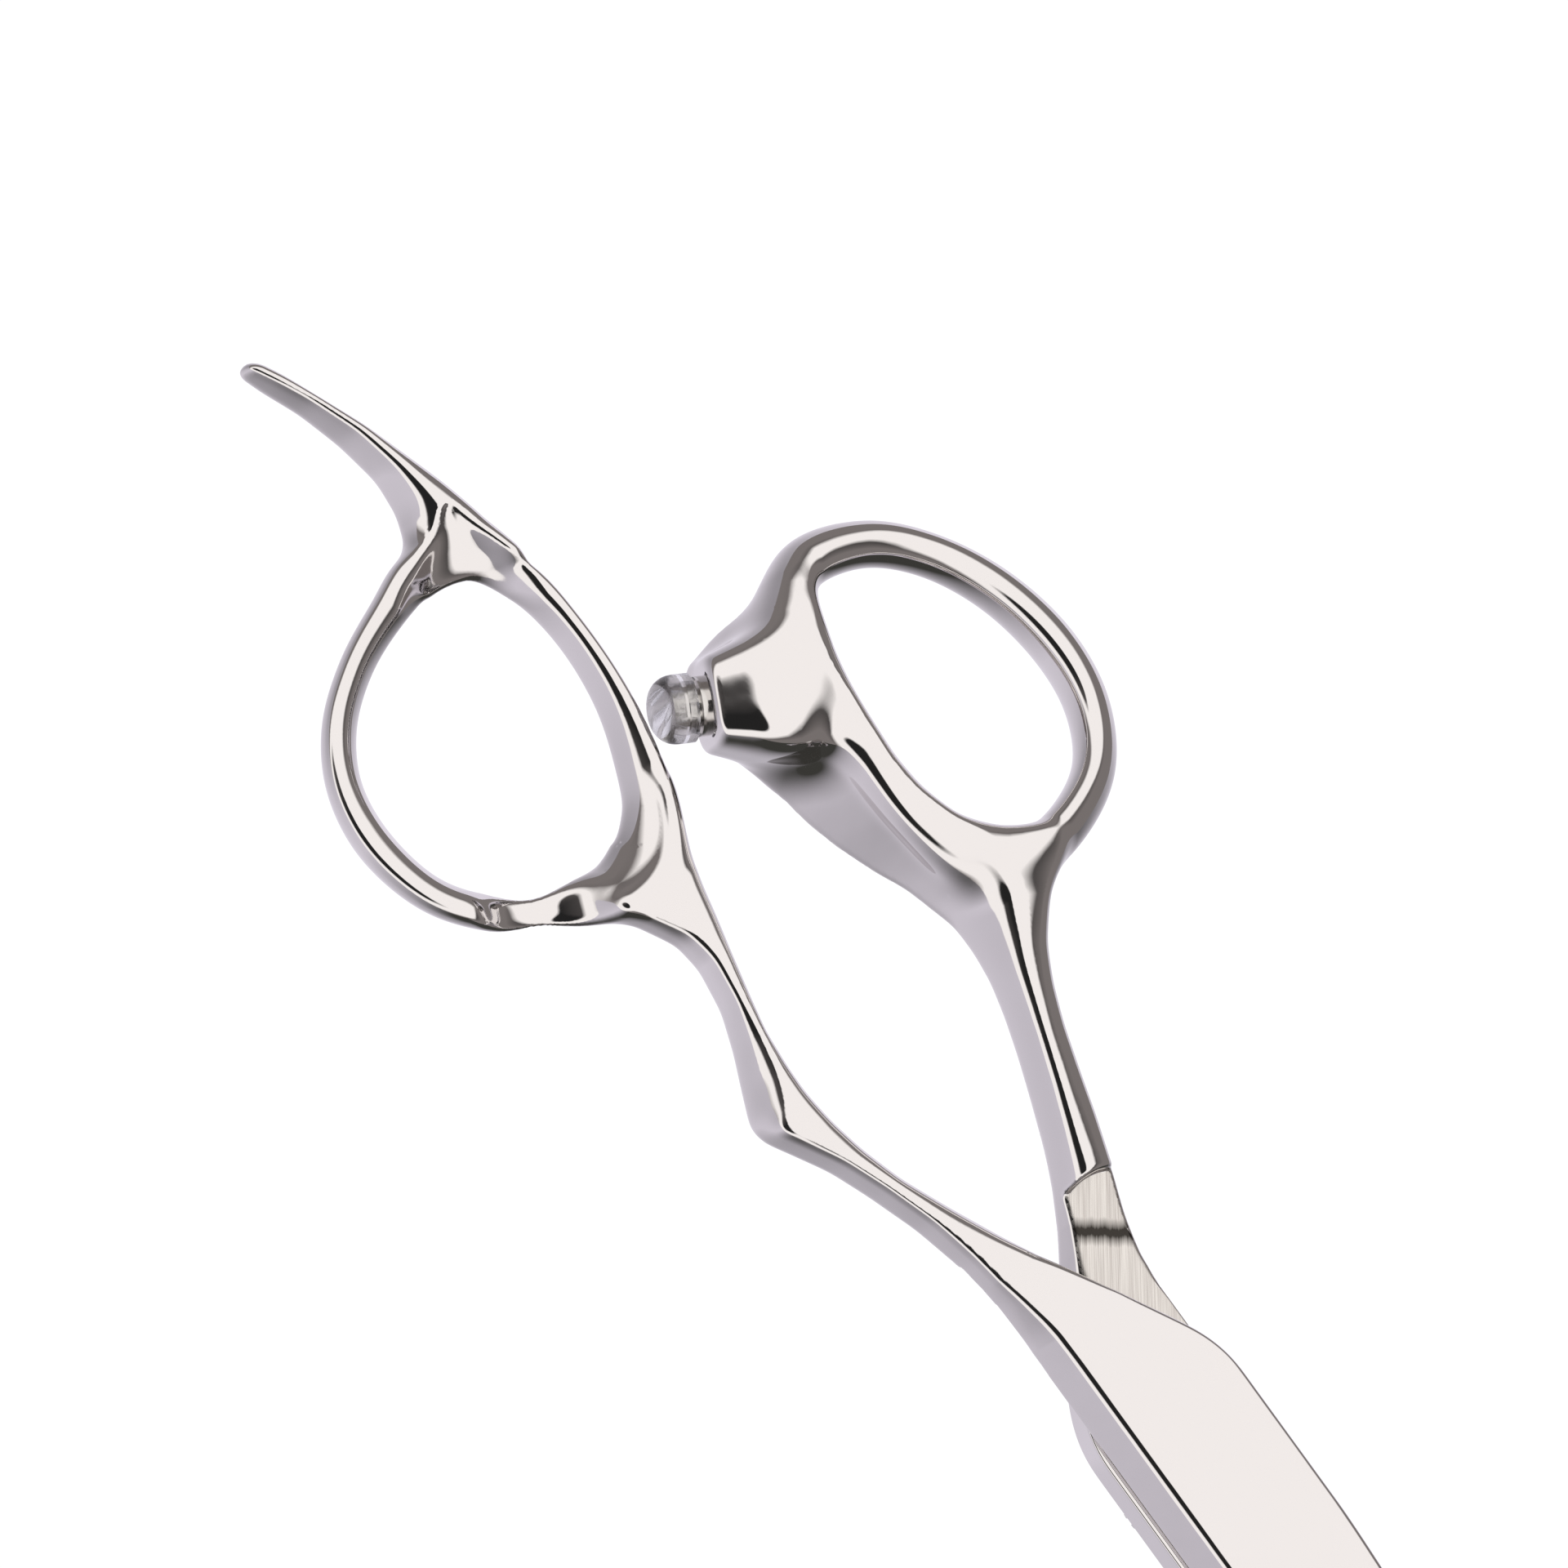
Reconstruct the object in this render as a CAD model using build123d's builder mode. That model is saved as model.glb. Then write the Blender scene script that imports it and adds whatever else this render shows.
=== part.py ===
"""Hair cutting shears: two forged halves that turn on a pivot with an adjustable tension dial.

Frame: +X runs along the closed blades to their tips, +Z is the side of the finger half and
+Y is the side of the thumb ring.  The pivot is the Z axis, and z = 0 is the outer face of
the tension dial.  Everything is in millimetres and drawn closed.
"""
import os
from math import cos, radians, sin

from build123d import *

os.makedirs("parts", exist_ok=True)

# ---- driving dimensions: blades ---------------------------------------------------------
DIAL_HEIGHT = 2.2                       # from the dial's outer face to the thumb blade
BLADE_THICK = 3.0                       # each blade beside the pivot
SHEAR = DIAL_HEIGHT + BLADE_THICK       # the plane where the two blades slide on each other
WELD_X = -13.0                          # blade steel ends and handle steel begins
SHOULDER_X = -5.0                       # the blade has its full width from here
SHOULDER_RUN = 8.0                      # length of the curve from the shank to full width
SHOULDER_DROP = 3.2                     # how much narrower the blade is at the weld
SPINE = 6.3                             # pivot axis to the spine
CUTTING = 5.9                           # pivot axis to the cutting edge
TIP_X = 65.5
TIP_THICK = 1.2                         # blade thickness at the tip
TIP_HALF = 0.25                         # half width of the tip
EDGE_LAND = 0.25                        # height of the blunt edge

# ---- driving dimensions: handles --------------------------------------------------------
STEP_CENTRE = (-18.6, 5.6)              # plan centre of the rounded step in the thumb shank
STEP_R = 4.6                            # the finger shank has the same step, mirrored
RING_LEVEL = 5.0                        # mid height of the finger ring
RING_DEPTH = 4.0                        # depth of the finger ring along Z
THUMB_CENTRE = (-59.0, 20.0, 5.1)       # centre of the thumb ring
THUMB_TILT = 14.0                       # thumb ring turned about X, far side lower
THUMB_DEPTH = 4.4                       # depth of the thumb ring along its own axis
EDGE = 0.6                              # broken edge round the rings
CORNER = 0.7                            # broken edges along the shanks
CUT = 40.0                              # side of the square that trims a shank to the shear plane

# ---- driving dimensions: pivot hardware -------------------------------------------------
STUD_R = 2.5                            # shoulder that the bushing turns on
STUD_THREAD_R = 2.0                     # threaded ends of the stud
STUD_GRIP = 2.0                         # depth of the blind hole in the finger blade
STUD_END = 1.1                          # height of the stud's outer end
BUSH_R = 3.3
RUNNING = 0.05                          # radial running clearance
POCKET_R = 5.1                          # pocket for the washers in the thumb blade
POCKET_DEPTH = 1.0
WASHER_R = 4.7
BLADE_WASHER_THICK = 0.3
NYLON_THICK = 0.3
CUP_STEEL = 0.2                         # sheet thickness of a cupped spring washer
CUP_RISE = 0.1                          # height that the cup adds to it
CLICK_THICK = 0.4
KEY_FLAT = 2.1                          # pivot axis to the flat that keeps the plate from turning
KEY_WIDTH = 3.0
BALL_R = 0.3                            # detent balls, held in the click plate
BALL_CIRCLE = 3.9
BALL_GAP = 0.06                         # air round the balls in the dial's groove
DETENT_COUNT = 24
DETENT_R = 0.2
DETENT_DEPTH = 0.45
DIAL_R = 5.6
DIAL_LOW = 0.1                          # the cap stands this much proud of the dial
DIAL_FLUTES = 36                        # flutes round the dial's rim
FLUTE_R = 0.3
CAP_R = 4.2
CAP_THICK = 0.5
LOCK_HEAD_R = 2.4
LOCK_HEAD_LOW = 0.55
LOCK_CLEARANCE = 0.2
LOCK_SHANK_R = 1.0
LOCK_SHANK_LENGTH = 2.5
LOCK_SLOT = 0.5

# ---- driving dimensions: bumper ---------------------------------------------------------
BOSS_FACE = (-69.0, 3.2, 5.8)           # centre of the end face of the thumb ring's boss
BOSS_ROOT = (-64.8, 11.3, 7.2)          # where the boss runs out in the ring
BOSS_R = 3.4
BOSS_ROOT_R = 4.4
BUMPER_AIM = (-0.46, -0.888, 0.0)       # from the boss to the finger ring
BUMPER_REACH = 4.05                     # from the boss to the crown of the cap
BUMPER_THREAD_R = 1.6
BUMPER_SINK = 4.5                       # threaded depth in the boss
BUMPER_COLLAR_R = 2.3
BUMPER_COLLAR_THICK = 0.5
BUMPER_HEAD_R = 2.1
BUMPER_HEAD_START = 0.9                 # from the boss to the head and the cap's rim
BUMPER_HEAD_END = 2.7                   # from the boss to the flat end of the screw
BUMPER_GROOVE = 0.15                    # depth of the groove that holds the cap
BUMPER_GROOVE_AT = 0.6                  # from the head's start to the groove
BUMPER_GROOVE_WIDTH = 0.3
BUMPER_CAP_R = 2.65
BUMPER_DOME = 1.9                       # radius that rounds the cap's crown


# ---- blades: both come from the same laws, mirrored about the pivot axis -------------------
def along(x):
    """Share of the way from the pivot to the tip, 0 behind the pivot."""
    return max(0.0, x / TIP_X)


def spine_y(x):
    """Distance from the pivot line to the spine."""
    shoulder = max(0.0, (SHOULDER_X - x) / SHOULDER_RUN)
    return SPINE - (SPINE - TIP_HALF) * along(x) ** 1.7 - SHOULDER_DROP * shoulder**2


def edge_y(x):
    """Distance from the pivot line to the cutting edge."""
    return CUTTING - (CUTTING - TIP_HALF) * along(x) ** 0.9


def bevel(x):
    """Width in plan of the slope between the blade's flat and its cutting edge."""
    return 1.9 + 0.6 * min(1.0, 4 * along(x)) - 2.3 * along(x) ** 2


def thickness(x):
    return BLADE_THICK + (TIP_THICK - BLADE_THICK) * along(x)


def blade_blank(spine_side, outward):
    """Blade from the weld to the tip: spine at spine_side * Y, outer face towards outward * Z."""
    shoulder = [WELD_X + SHOULDER_RUN * k / 5 for k in range(6)]
    reach = [0.0, 8.0, 20.0, 32.0, 44.0, 54.0, 61.0, TIP_X]
    with BuildPart() as blank:
        for x in shoulder + reach:
            spine = spine_side * spine_y(x)
            cutting = -spine_side * edge_y(x)
            ridge = cutting + spine_side * bevel(x)
            crown = SHEAR + outward * thickness(x)
            with BuildSketch(Plane(origin=(x, 0, 0), x_dir=(0, 1, 0), z_dir=(1, 0, 0))):
                with BuildLine():
                    Polyline(
                        (cutting, SHEAR), (spine, SHEAR), (spine, crown), (ridge, crown),
                        (cutting, SHEAR + outward * EDGE_LAND), close=True,
                    )
                make_face()
        loft(ruled=True)
    return blank.part


# ---- handles ---------------------------------------------------------------------------------
def shank_loft(stations):
    """Bar through stations of (x, lowest y, highest y, lowest z, highest z), corners broken."""
    with BuildPart() as bar:
        for x, y_low, y_high, z_low, z_high in stations:
            with BuildSketch(Plane(origin=(x, 0, 0), x_dir=(0, 1, 0), z_dir=(1, 0, 0))):
                with BuildLine():
                    Polyline(
                        (y_low + CORNER, z_low), (y_high - CORNER, z_low),
                        (y_high, z_low + CORNER), (y_high, z_high - CORNER),
                        (y_high - CORNER, z_high), (y_low + 2 * CORNER, z_high),
                        (y_low, z_high - 2 * CORNER), (y_low, z_low + CORNER), close=True,
                    )
                make_face()
        loft(ruled=True)
    return bar.part


def other_side(step_y, outward):
    """Block on the other half's side of the shear plane, ending in the shank's round step."""
    with BuildPart() as block:
        with BuildSketch(Plane.XY.offset(SHEAR)):
            with Locations((STEP_CENTRE[0], step_y)):
                Circle(STEP_R)
            with Locations((STEP_CENTRE[0] + CUT / 2, 0)):
                Rectangle(CUT, CUT)
        extrude(amount=outward * SHEAR)
    return block.part


def ring_plate(outline, closing, hole, plane, depth):
    """Ring with its neck: a smooth outline closed by straight runs, with a smooth hole."""
    with BuildPart() as ring:
        with BuildSketch(plane):
            with BuildLine():
                side = Spline(*outline)
                Polyline(side @ 1, *closing, side @ 0)
            make_face()
            with BuildLine():
                Spline(*hole, periodic=True)
            make_face(mode=Mode.SUBTRACT)
        extrude(amount=depth / 2, both=True)
        rims = ring.faces().sort_by(Axis(plane.origin, plane.z_dir))
        chamfer((rims[0].inner_wires() + rims[-1].inner_wires()).edges(), EDGE)
    return ring.part


# Finger ring in plan, from the shank's inner side round to its outer side.
FINGER_OUTLINE = [
    (-52.0, -6.7), (-62.5, -3.2), (-70, -0.9), (-77, 0.0), (-84, -0.4), (-89.5, -1.6),
    (-92.5, -4.5), (-90.9, -10.6), (-88.2, -16.6), (-84.6, -21.4), (-79.9, -24.5),
    (-74.5, -25.2), (-68.7, -23.8), (-64.2, -20.3), (-61.0, -15.0), (-57.6, -10.6), (-52.0, -9.5),
]
FINGER_HOLE = [
    (-75.9, -1.9), (-70.9, -3.5), (-66.7, -6.3), (-64.4, -10.4), (-64.3, -14.6),
    (-66.6, -18.7), (-70.7, -21.6), (-76.0, -22.1), (-81.6, -20.1), (-85.7, -15.5),
    (-87.4, -9.8), (-86.2, -5.2), (-82.0, -2.4),
]
FINGER_SHANK = [
    (WELD_X, -5.6, 3.1, SHEAR, 8.2), (-19.4, -6.1, -0.4, 4.0, 8.2), (-24.0, -6.7, -2.6, 3.6, 8.2),
    (-31.8, -9.0, -6.0, 3.4, 8.1), (-36.0, -11.0, -7.3, 3.3, 8.0), (-39.5, -12.9, -7.9, 3.2, 7.9),
    (-41.0, -13.0, -8.0, 3.2, 7.9), (-46.0, -10.9, -7.9, 3.1, 7.6), (-53.0, -9.4, -6.2, 3.1, 7.2),
    (-60.0, -12.5, -4.1, 3.1, 6.9),
]
# The tang behind the finger ring: centre in plan, half width and half depth.
TANG = [
    (-90.5, -4.7, 2.8, 2.0), (-95.0, -5.0, 2.2, 2.2), (-99.5, -6.1, 1.75, 2.1),
    (-104.5, -7.8, 1.45, 1.8), (-108.2, -9.6, 1.0, 1.3), (-109.6, -10.3, 0.4, 0.6),
]

# Thumb ring in its own tilted plane, measured from the ring's centre.
THUMB_OUTLINE = [
    (20.0, -7.2), (16.6, -2.9), (15.2, 2.0), (12.9, 8.0), (7.8, 12.1), (3.0, 12.8),
    (-2.5, 12.2), (-6.7, 10.4), (-10.7, 6.8), (-13.6, 2.6), (-15.6, -1.4), (-16.2, -4.8),
    (-15.6, -8.2), (-13.6, -11.6),
]
THUMB_NECK = [(-7.0, -15.6), (3.0, -15.0), (9.0, -13.2), (14.5, -12.2), (20.0, -12.2)]
THUMB_HOLE = [
    (1.2, 8.7), (5.8, 8.3), (9.4, 6.6), (11.4, 3.4), (11.7, -0.4), (10.6, -4.4),
    (7.4, -7.4), (1.8, -8.6), (-4.0, -8.3), (-8.6, -7.7), (-11.6, -5.7), (-12.0, -1.6),
    (-9.6, 3.6), (-4.4, 7.1),
]
THUMB_SHANK = [
    (WELD_X, -3.1, 5.6, 2.2, SHEAR), (-19.5, 0.8, 6.8, 2.2, 6.4), (-24.0, 3.2, 8.6, 2.3, 7.2),
    (-30.0, 5.9, 10.4, 2.6, 7.6), (-36.0, 7.9, 12.3, 3.2, 8.1), (-41.5, 8.6, 15.4, 3.8, 8.4),
    (-47.0, 8.4, 14.0, 4.2, 8.8),
]

tilt = radians(THUMB_TILT)
THUMB_PLANE = Plane(origin=THUMB_CENTRE, x_dir=(1, 0, 0), z_dir=(0, sin(tilt), cos(tilt)))
FINGER_PLANE = Plane.XY.offset(RING_LEVEL)

finger_ring = ring_plate(FINGER_OUTLINE, [], FINGER_HOLE, FINGER_PLANE, RING_DEPTH)
finger_bar = shank_loft(FINGER_SHANK)
finger_cut = other_side(-STEP_CENTRE[1], -1)
thumb_ring = ring_plate(THUMB_OUTLINE, THUMB_NECK, THUMB_HOLE, THUMB_PLANE, THUMB_DEPTH)
thumb_bar = shank_loft(THUMB_SHANK)
thumb_cut = other_side(STEP_CENTRE[1], 1)

# ---- finger handle: shank, ring and tang in one forging --------------------------------------
with BuildPart() as finger_handle:
    add(finger_bar)
    add(finger_ring)
    for x, y, half_width, half_depth in TANG:
        with BuildSketch(Plane(origin=(x, y, RING_LEVEL), x_dir=(0, 1, 0), z_dir=(1, 0, 0))):
            Ellipse(half_width, half_depth)
    loft(ruled=True)
    add(finger_cut, mode=Mode.SUBTRACT)
finger_handle.part.label = "finger_handle"
export_step(finger_handle.part, "parts/finger_handle.step")

# ---- finger blade: the upper blade, spine at +Y, with the stud's blind hole --------------------
finger_blank = blade_blank(1, 1)
with BuildPart() as finger_blade:
    add(finger_blank)
    with BuildSketch(Plane.XY.offset(SHEAR)):
        Circle(STUD_THREAD_R)
    extrude(amount=STUD_GRIP, mode=Mode.SUBTRACT)
finger_blade.part.label = "finger_blade"
export_step(finger_blade.part, "parts/finger_blade.step")

# ---- thumb handle: shank, tilted ring and the boss that carries the bumper ---------------------
bumper_plane = Plane(origin=BOSS_FACE, x_dir=(0, 0, 1), z_dir=BUMPER_AIM)
with BuildPart() as thumb_handle:
    add(thumb_bar)
    add(thumb_ring)
    with BuildSketch(bumper_plane):
        Circle(BOSS_R)
    with BuildSketch(Plane(origin=BOSS_ROOT, x_dir=(0, 0, 1), z_dir=BUMPER_AIM)):
        Ellipse(THUMB_DEPTH / 2, BOSS_ROOT_R)
    loft()
    add(thumb_cut, mode=Mode.SUBTRACT)
    with BuildSketch(bumper_plane):
        Circle(BUMPER_THREAD_R)
    extrude(amount=-BUMPER_SINK, mode=Mode.SUBTRACT)
thumb_handle.part.label = "thumb_handle"
export_step(thumb_handle.part, "parts/thumb_handle.step")

# ---- thumb blade: the lower blade, spine at -Y, bored for the bushing and the washers ----------
thumb_blank = blade_blank(-1, -1)
with BuildPart() as thumb_blade:
    add(thumb_blank)
    with Locations((0, 0, SHEAR)):
        CounterBoreHole(BUSH_R, WASHER_R + 2 * RUNNING, BLADE_WASHER_THICK, depth=BLADE_THICK)
    with BuildSketch(Plane.XY.offset(DIAL_HEIGHT)):
        Circle(POCKET_R)
    extrude(amount=POCKET_DEPTH, mode=Mode.SUBTRACT)
thumb_blade.part.label = "thumb_blade"
export_step(thumb_blade.part, "parts/thumb_blade.step")

# ---- heights of the stack under the thumb blade, from the pocket's floor outwards ----------------
pocket_floor = DIAL_HEIGHT + POCKET_DEPTH
nylon_low = pocket_floor - NYLON_THICK
cups_meet = nylon_low - CUP_STEEL - CUP_RISE
click_high = cups_meet - CUP_STEEL - CUP_RISE
dial_high = click_high - CLICK_THICK


def washer(low, high, outer_r, inner_r):
    """Flat round washer about the pivot axis."""
    with BuildPart() as made:
        with BuildSketch(Plane.XY.offset(low)):
            Circle(outer_r)
            Circle(inner_r, mode=Mode.SUBTRACT)
        extrude(amount=high - low)
    return made.part


def cup(rim, outward):
    """Cupped spring washer whose inner rim lies at height rim and opens towards outward * Z."""
    inner_r = STUD_R + 2 * RUNNING
    with BuildPart() as made:
        with BuildSketch(Plane.XZ):
            with BuildLine():
                Polyline(
                    (inner_r, rim), (WASHER_R, rim + outward * CUP_RISE),
                    (WASHER_R, rim + outward * (CUP_RISE + CUP_STEEL)),
                    (inner_r, rim + outward * CUP_STEEL), close=True,
                )
            make_face()
        revolve(axis=Axis.Z)
    return made.part


# ---- pivot stud: screwed into the finger blade, carries everything else at the pivot -------------
with BuildPart() as pivot_stud:
    with BuildSketch(Plane.XY.offset(dial_high)):
        Circle(STUD_R)
    extrude(amount=SHEAR - dial_high)
    with BuildSketch(Plane.XY.offset(SHEAR)):
        Circle(STUD_THREAD_R)
    extrude(amount=STUD_GRIP - RUNNING)
    with BuildSketch(Plane.XY.offset(STUD_END)):
        Circle(STUD_THREAD_R)
    extrude(amount=dial_high - STUD_END)
    with BuildSketch(Plane.XY.offset(dial_high)):
        with Locations((0, KEY_FLAT + STUD_R)):
            Rectangle(2 * STUD_R, 2 * STUD_R)
    extrude(amount=CLICK_THICK, mode=Mode.SUBTRACT)
    with BuildSketch(Plane.XY.offset(STUD_END)):
        Circle(LOCK_SHANK_R)
    extrude(amount=LOCK_SHANK_LENGTH, mode=Mode.SUBTRACT)
pivot_stud.part.label = "pivot_stud"
export_step(pivot_stud.part, "parts/pivot_stud.step")

# ---- bushing and blade washer: pressed into the thumb blade --------------------------------------
bushing_ring = washer(pocket_floor, SHEAR - BLADE_WASHER_THICK, BUSH_R, STUD_R + RUNNING)
with BuildPart() as pivot_bushing:
    add(bushing_ring)
pivot_bushing.part.label = "pivot_bushing"
export_step(pivot_bushing.part, "parts/pivot_bushing.step")

blade_ring = washer(SHEAR - BLADE_WASHER_THICK, SHEAR, WASHER_R, STUD_R + 2 * RUNNING)
with BuildPart() as blade_washer:
    add(blade_ring)
blade_washer.part.label = "blade_washer"
export_step(blade_washer.part, "parts/blade_washer.step")

# ---- nylon washer and the two cupped springs in the pocket ----------------------------------------
nylon_ring = washer(nylon_low, pocket_floor, WASHER_R, STUD_R + 2 * RUNNING)
with BuildPart() as nylon_washer:
    add(nylon_ring)
nylon_washer.part.label = "nylon_washer"
export_step(nylon_washer.part, "parts/nylon_washer.step")

for node, outward in (("spring_washer_inner", 1), ("spring_washer_outer", -1)):
    cup_ring = cup(cups_meet, outward)
    with BuildPart() as spring_washer:
        add(cup_ring)
    spring_washer.part.label = node
    export_step(spring_washer.part, f"parts/{node}.step")

# ---- click plate: keyed to the stud's flat, holds the detent balls --------------------------------
with BuildPart() as click_plate:
    with BuildSketch(Plane.XY.offset(dial_high)):
        Circle(WASHER_R)
        Circle(STUD_R, mode=Mode.SUBTRACT)
        with Locations((0, (KEY_FLAT + STUD_R) / 2)):
            Rectangle(KEY_WIDTH, STUD_R - KEY_FLAT)
        with PolarLocations(BALL_CIRCLE, 2):
            Circle(BALL_R, mode=Mode.SUBTRACT)
    extrude(amount=CLICK_THICK)
click_plate.part.label = "click_plate"
export_step(click_plate.part, "parts/click_plate.step")

with BuildPart() as detent_balls:
    with Locations((0, 0, dial_high + CLICK_THICK - BALL_R)):
        with PolarLocations(BALL_CIRCLE, 2):
            Sphere(BALL_R)
detent_balls.part.label = "detent_balls"
export_step(detent_balls.part, "parts/detent_balls.step")

# ---- tension dial: fluted nut with a ball groove and detents on its inner face --------------------
with BuildPart() as tension_dial:
    with BuildSketch(Plane.XY.offset(DIAL_LOW)):
        Circle(DIAL_R)
        with PolarLocations(DIAL_R, DIAL_FLUTES):
            Circle(FLUTE_R, mode=Mode.SUBTRACT)
    extrude(amount=dial_high - DIAL_LOW)
    with BuildSketch(Plane.XY.offset(DIAL_LOW)):
        Circle(CAP_R)
    extrude(amount=CAP_THICK - DIAL_LOW, mode=Mode.SUBTRACT)
    with BuildSketch(Plane.XY.offset(DIAL_LOW)):
        Circle(LOCK_HEAD_R + LOCK_CLEARANCE)
    extrude(amount=STUD_END - DIAL_LOW, mode=Mode.SUBTRACT)
    with BuildSketch(Plane.XY.offset(DIAL_LOW)):
        Circle(STUD_THREAD_R + RUNNING)
    extrude(amount=dial_high - DIAL_LOW, mode=Mode.SUBTRACT)
    with BuildSketch(Plane.XZ):
        with Locations((BALL_CIRCLE, dial_high + CLICK_THICK - BALL_R)):
            Circle(BALL_R + BALL_GAP)
    revolve(axis=Axis.Z, mode=Mode.SUBTRACT)
    with BuildSketch(Plane.XY.offset(dial_high)):
        with PolarLocations(BALL_CIRCLE, DETENT_COUNT):
            Circle(DETENT_R)
    extrude(amount=-DETENT_DEPTH, mode=Mode.SUBTRACT)
tension_dial.part.label = "tension_dial"
export_step(tension_dial.part, "parts/tension_dial.step")

# ---- dial cap: the flat disc that closes the dial, and the face that the shears rest on -----------
with BuildPart() as dial_cap:
    with BuildSketch(Plane.XY):
        Circle(CAP_R)
    extrude(amount=CAP_THICK)
    chamfer(dial_cap.faces().sort_by(Axis.Z)[0].edges(), DIAL_LOW)
dial_cap.part.label = "dial_cap"
export_step(dial_cap.part, "parts/dial_cap.step")

# ---- lock screw: keeps the dial from leaving the stud ---------------------------------------------
with BuildPart() as lock_screw:
    with BuildSketch(Plane.XY.offset(LOCK_HEAD_LOW)):
        Circle(LOCK_HEAD_R)
    extrude(amount=STUD_END - LOCK_HEAD_LOW)
    with BuildSketch(Plane.XY.offset(STUD_END)):
        Circle(LOCK_SHANK_R)
    extrude(amount=LOCK_SHANK_LENGTH - RUNNING)
    with BuildSketch(Plane.XY.offset(LOCK_HEAD_LOW)):
        Rectangle(2 * LOCK_HEAD_R, LOCK_SLOT)
    extrude(amount=(STUD_END - LOCK_HEAD_LOW) / 2, mode=Mode.SUBTRACT)
lock_screw.part.label = "lock_screw"
export_step(lock_screw.part, "parts/lock_screw.step")

# ---- bumper screw: threaded into the boss, with a grooved head for the cap ------------------------
with BuildPart() as bumper_screw:
    with BuildSketch(bumper_plane):
        Circle(BUMPER_THREAD_R)
    extrude(amount=-BUMPER_SINK + RUNNING)
    with BuildSketch(bumper_plane):
        Circle(BUMPER_THREAD_R)
    extrude(amount=BUMPER_HEAD_START)
    with BuildSketch(bumper_plane):
        Circle(BUMPER_COLLAR_R)
    extrude(amount=BUMPER_COLLAR_THICK)
    with BuildSketch(bumper_plane.offset(BUMPER_HEAD_START)):
        Circle(BUMPER_HEAD_R)
    extrude(amount=BUMPER_HEAD_END - BUMPER_HEAD_START)
    with BuildSketch(bumper_plane.offset(BUMPER_HEAD_START + BUMPER_GROOVE_AT)):
        Circle(BUMPER_HEAD_R)
        Circle(BUMPER_HEAD_R - BUMPER_GROOVE, mode=Mode.SUBTRACT)
    extrude(amount=BUMPER_GROOVE_WIDTH, mode=Mode.SUBTRACT)
bumper_screw.part.label = "bumper_screw"
export_step(bumper_screw.part, "parts/bumper_screw.step")

# ---- bumper cap: clear silicone thimble pressed over the screw's head ------------------------------
cap_plane = Plane(origin=BOSS_FACE, x_dir=(0, 0, 1), z_dir=(-BUMPER_AIM[1], BUMPER_AIM[0], 0))
with BuildPart() as bumper_cap:
    with BuildSketch(cap_plane):
        with BuildLine():
            crown = CenterArc(
                (BUMPER_CAP_R - BUMPER_DOME, BUMPER_REACH - BUMPER_DOME), BUMPER_DOME, 0, 90,
            )
            Polyline(
                crown @ 1, (0, BUMPER_REACH), (0, BUMPER_HEAD_END), (BUMPER_HEAD_R, BUMPER_HEAD_END),
                (BUMPER_HEAD_R, BUMPER_HEAD_START), (BUMPER_CAP_R, BUMPER_HEAD_START), crown @ 0,
            )
        make_face()
    revolve(axis=Axis(BOSS_FACE, BUMPER_AIM))
bumper_cap.part.label = "bumper_cap"
export_step(bumper_cap.part, "parts/bumper_cap.step")
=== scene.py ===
"""Hair cutting shears: polished steel halves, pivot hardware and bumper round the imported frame.

Each half is ground and polished to one flowing shape, so it is a smooth solid given by a formula:
bars with faceted sections, run along x or along a ring, melted into each other.  The solid is
meshed once and its shading normals come from the formula, so mirror polish stays clean.
All shape numbers are millimetres in the row frame; MM turns them into metres.
"""
import math

import bmesh
import bpy
import numpy as np
from mathutils import Matrix, Vector


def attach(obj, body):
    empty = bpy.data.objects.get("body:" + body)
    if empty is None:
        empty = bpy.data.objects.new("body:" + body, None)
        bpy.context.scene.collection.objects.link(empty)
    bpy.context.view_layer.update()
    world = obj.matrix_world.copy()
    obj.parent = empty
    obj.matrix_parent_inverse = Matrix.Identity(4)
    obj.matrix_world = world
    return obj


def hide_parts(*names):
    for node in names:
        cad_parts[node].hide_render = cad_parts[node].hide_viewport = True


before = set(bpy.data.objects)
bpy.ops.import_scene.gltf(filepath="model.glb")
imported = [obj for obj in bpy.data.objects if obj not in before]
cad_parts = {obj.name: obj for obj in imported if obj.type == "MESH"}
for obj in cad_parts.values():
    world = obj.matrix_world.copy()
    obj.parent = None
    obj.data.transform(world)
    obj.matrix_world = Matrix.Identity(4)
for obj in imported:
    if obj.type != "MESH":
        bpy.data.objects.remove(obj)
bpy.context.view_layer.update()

MM = 0.001
SHEAR = 5.2                # height of the plane where the two halves slide on each other
WELD_X = -13.0             # handle and blade of each half meet here
TIP_X = 65.5
TABLE_STEP = 0.05          # spacing of the smoothed tables


# ---- smooth tables and curves ----------------------------------------------------------------
def blurred(values, sigma, closed):
    """Gaussian blur of table rows, sigma in table steps."""
    reach = int(4 * sigma) + 1
    offsets = np.arange(-reach, reach + 1)
    weights = np.exp(-0.5 * (offsets / sigma) ** 2)
    weights /= weights.sum()
    if closed:
        padded = np.concatenate([values[-reach:], values, values[:reach]])
    else:
        head = 2 * values[:1] - values[reach:0:-1]
        tail = 2 * values[-1:] - values[-2:-reach - 2:-1]
        padded = np.concatenate([head, values, tail])
    return np.stack([np.convolve(padded[:, k], weights, "valid") for k in range(values.shape[1])], 1)


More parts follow.
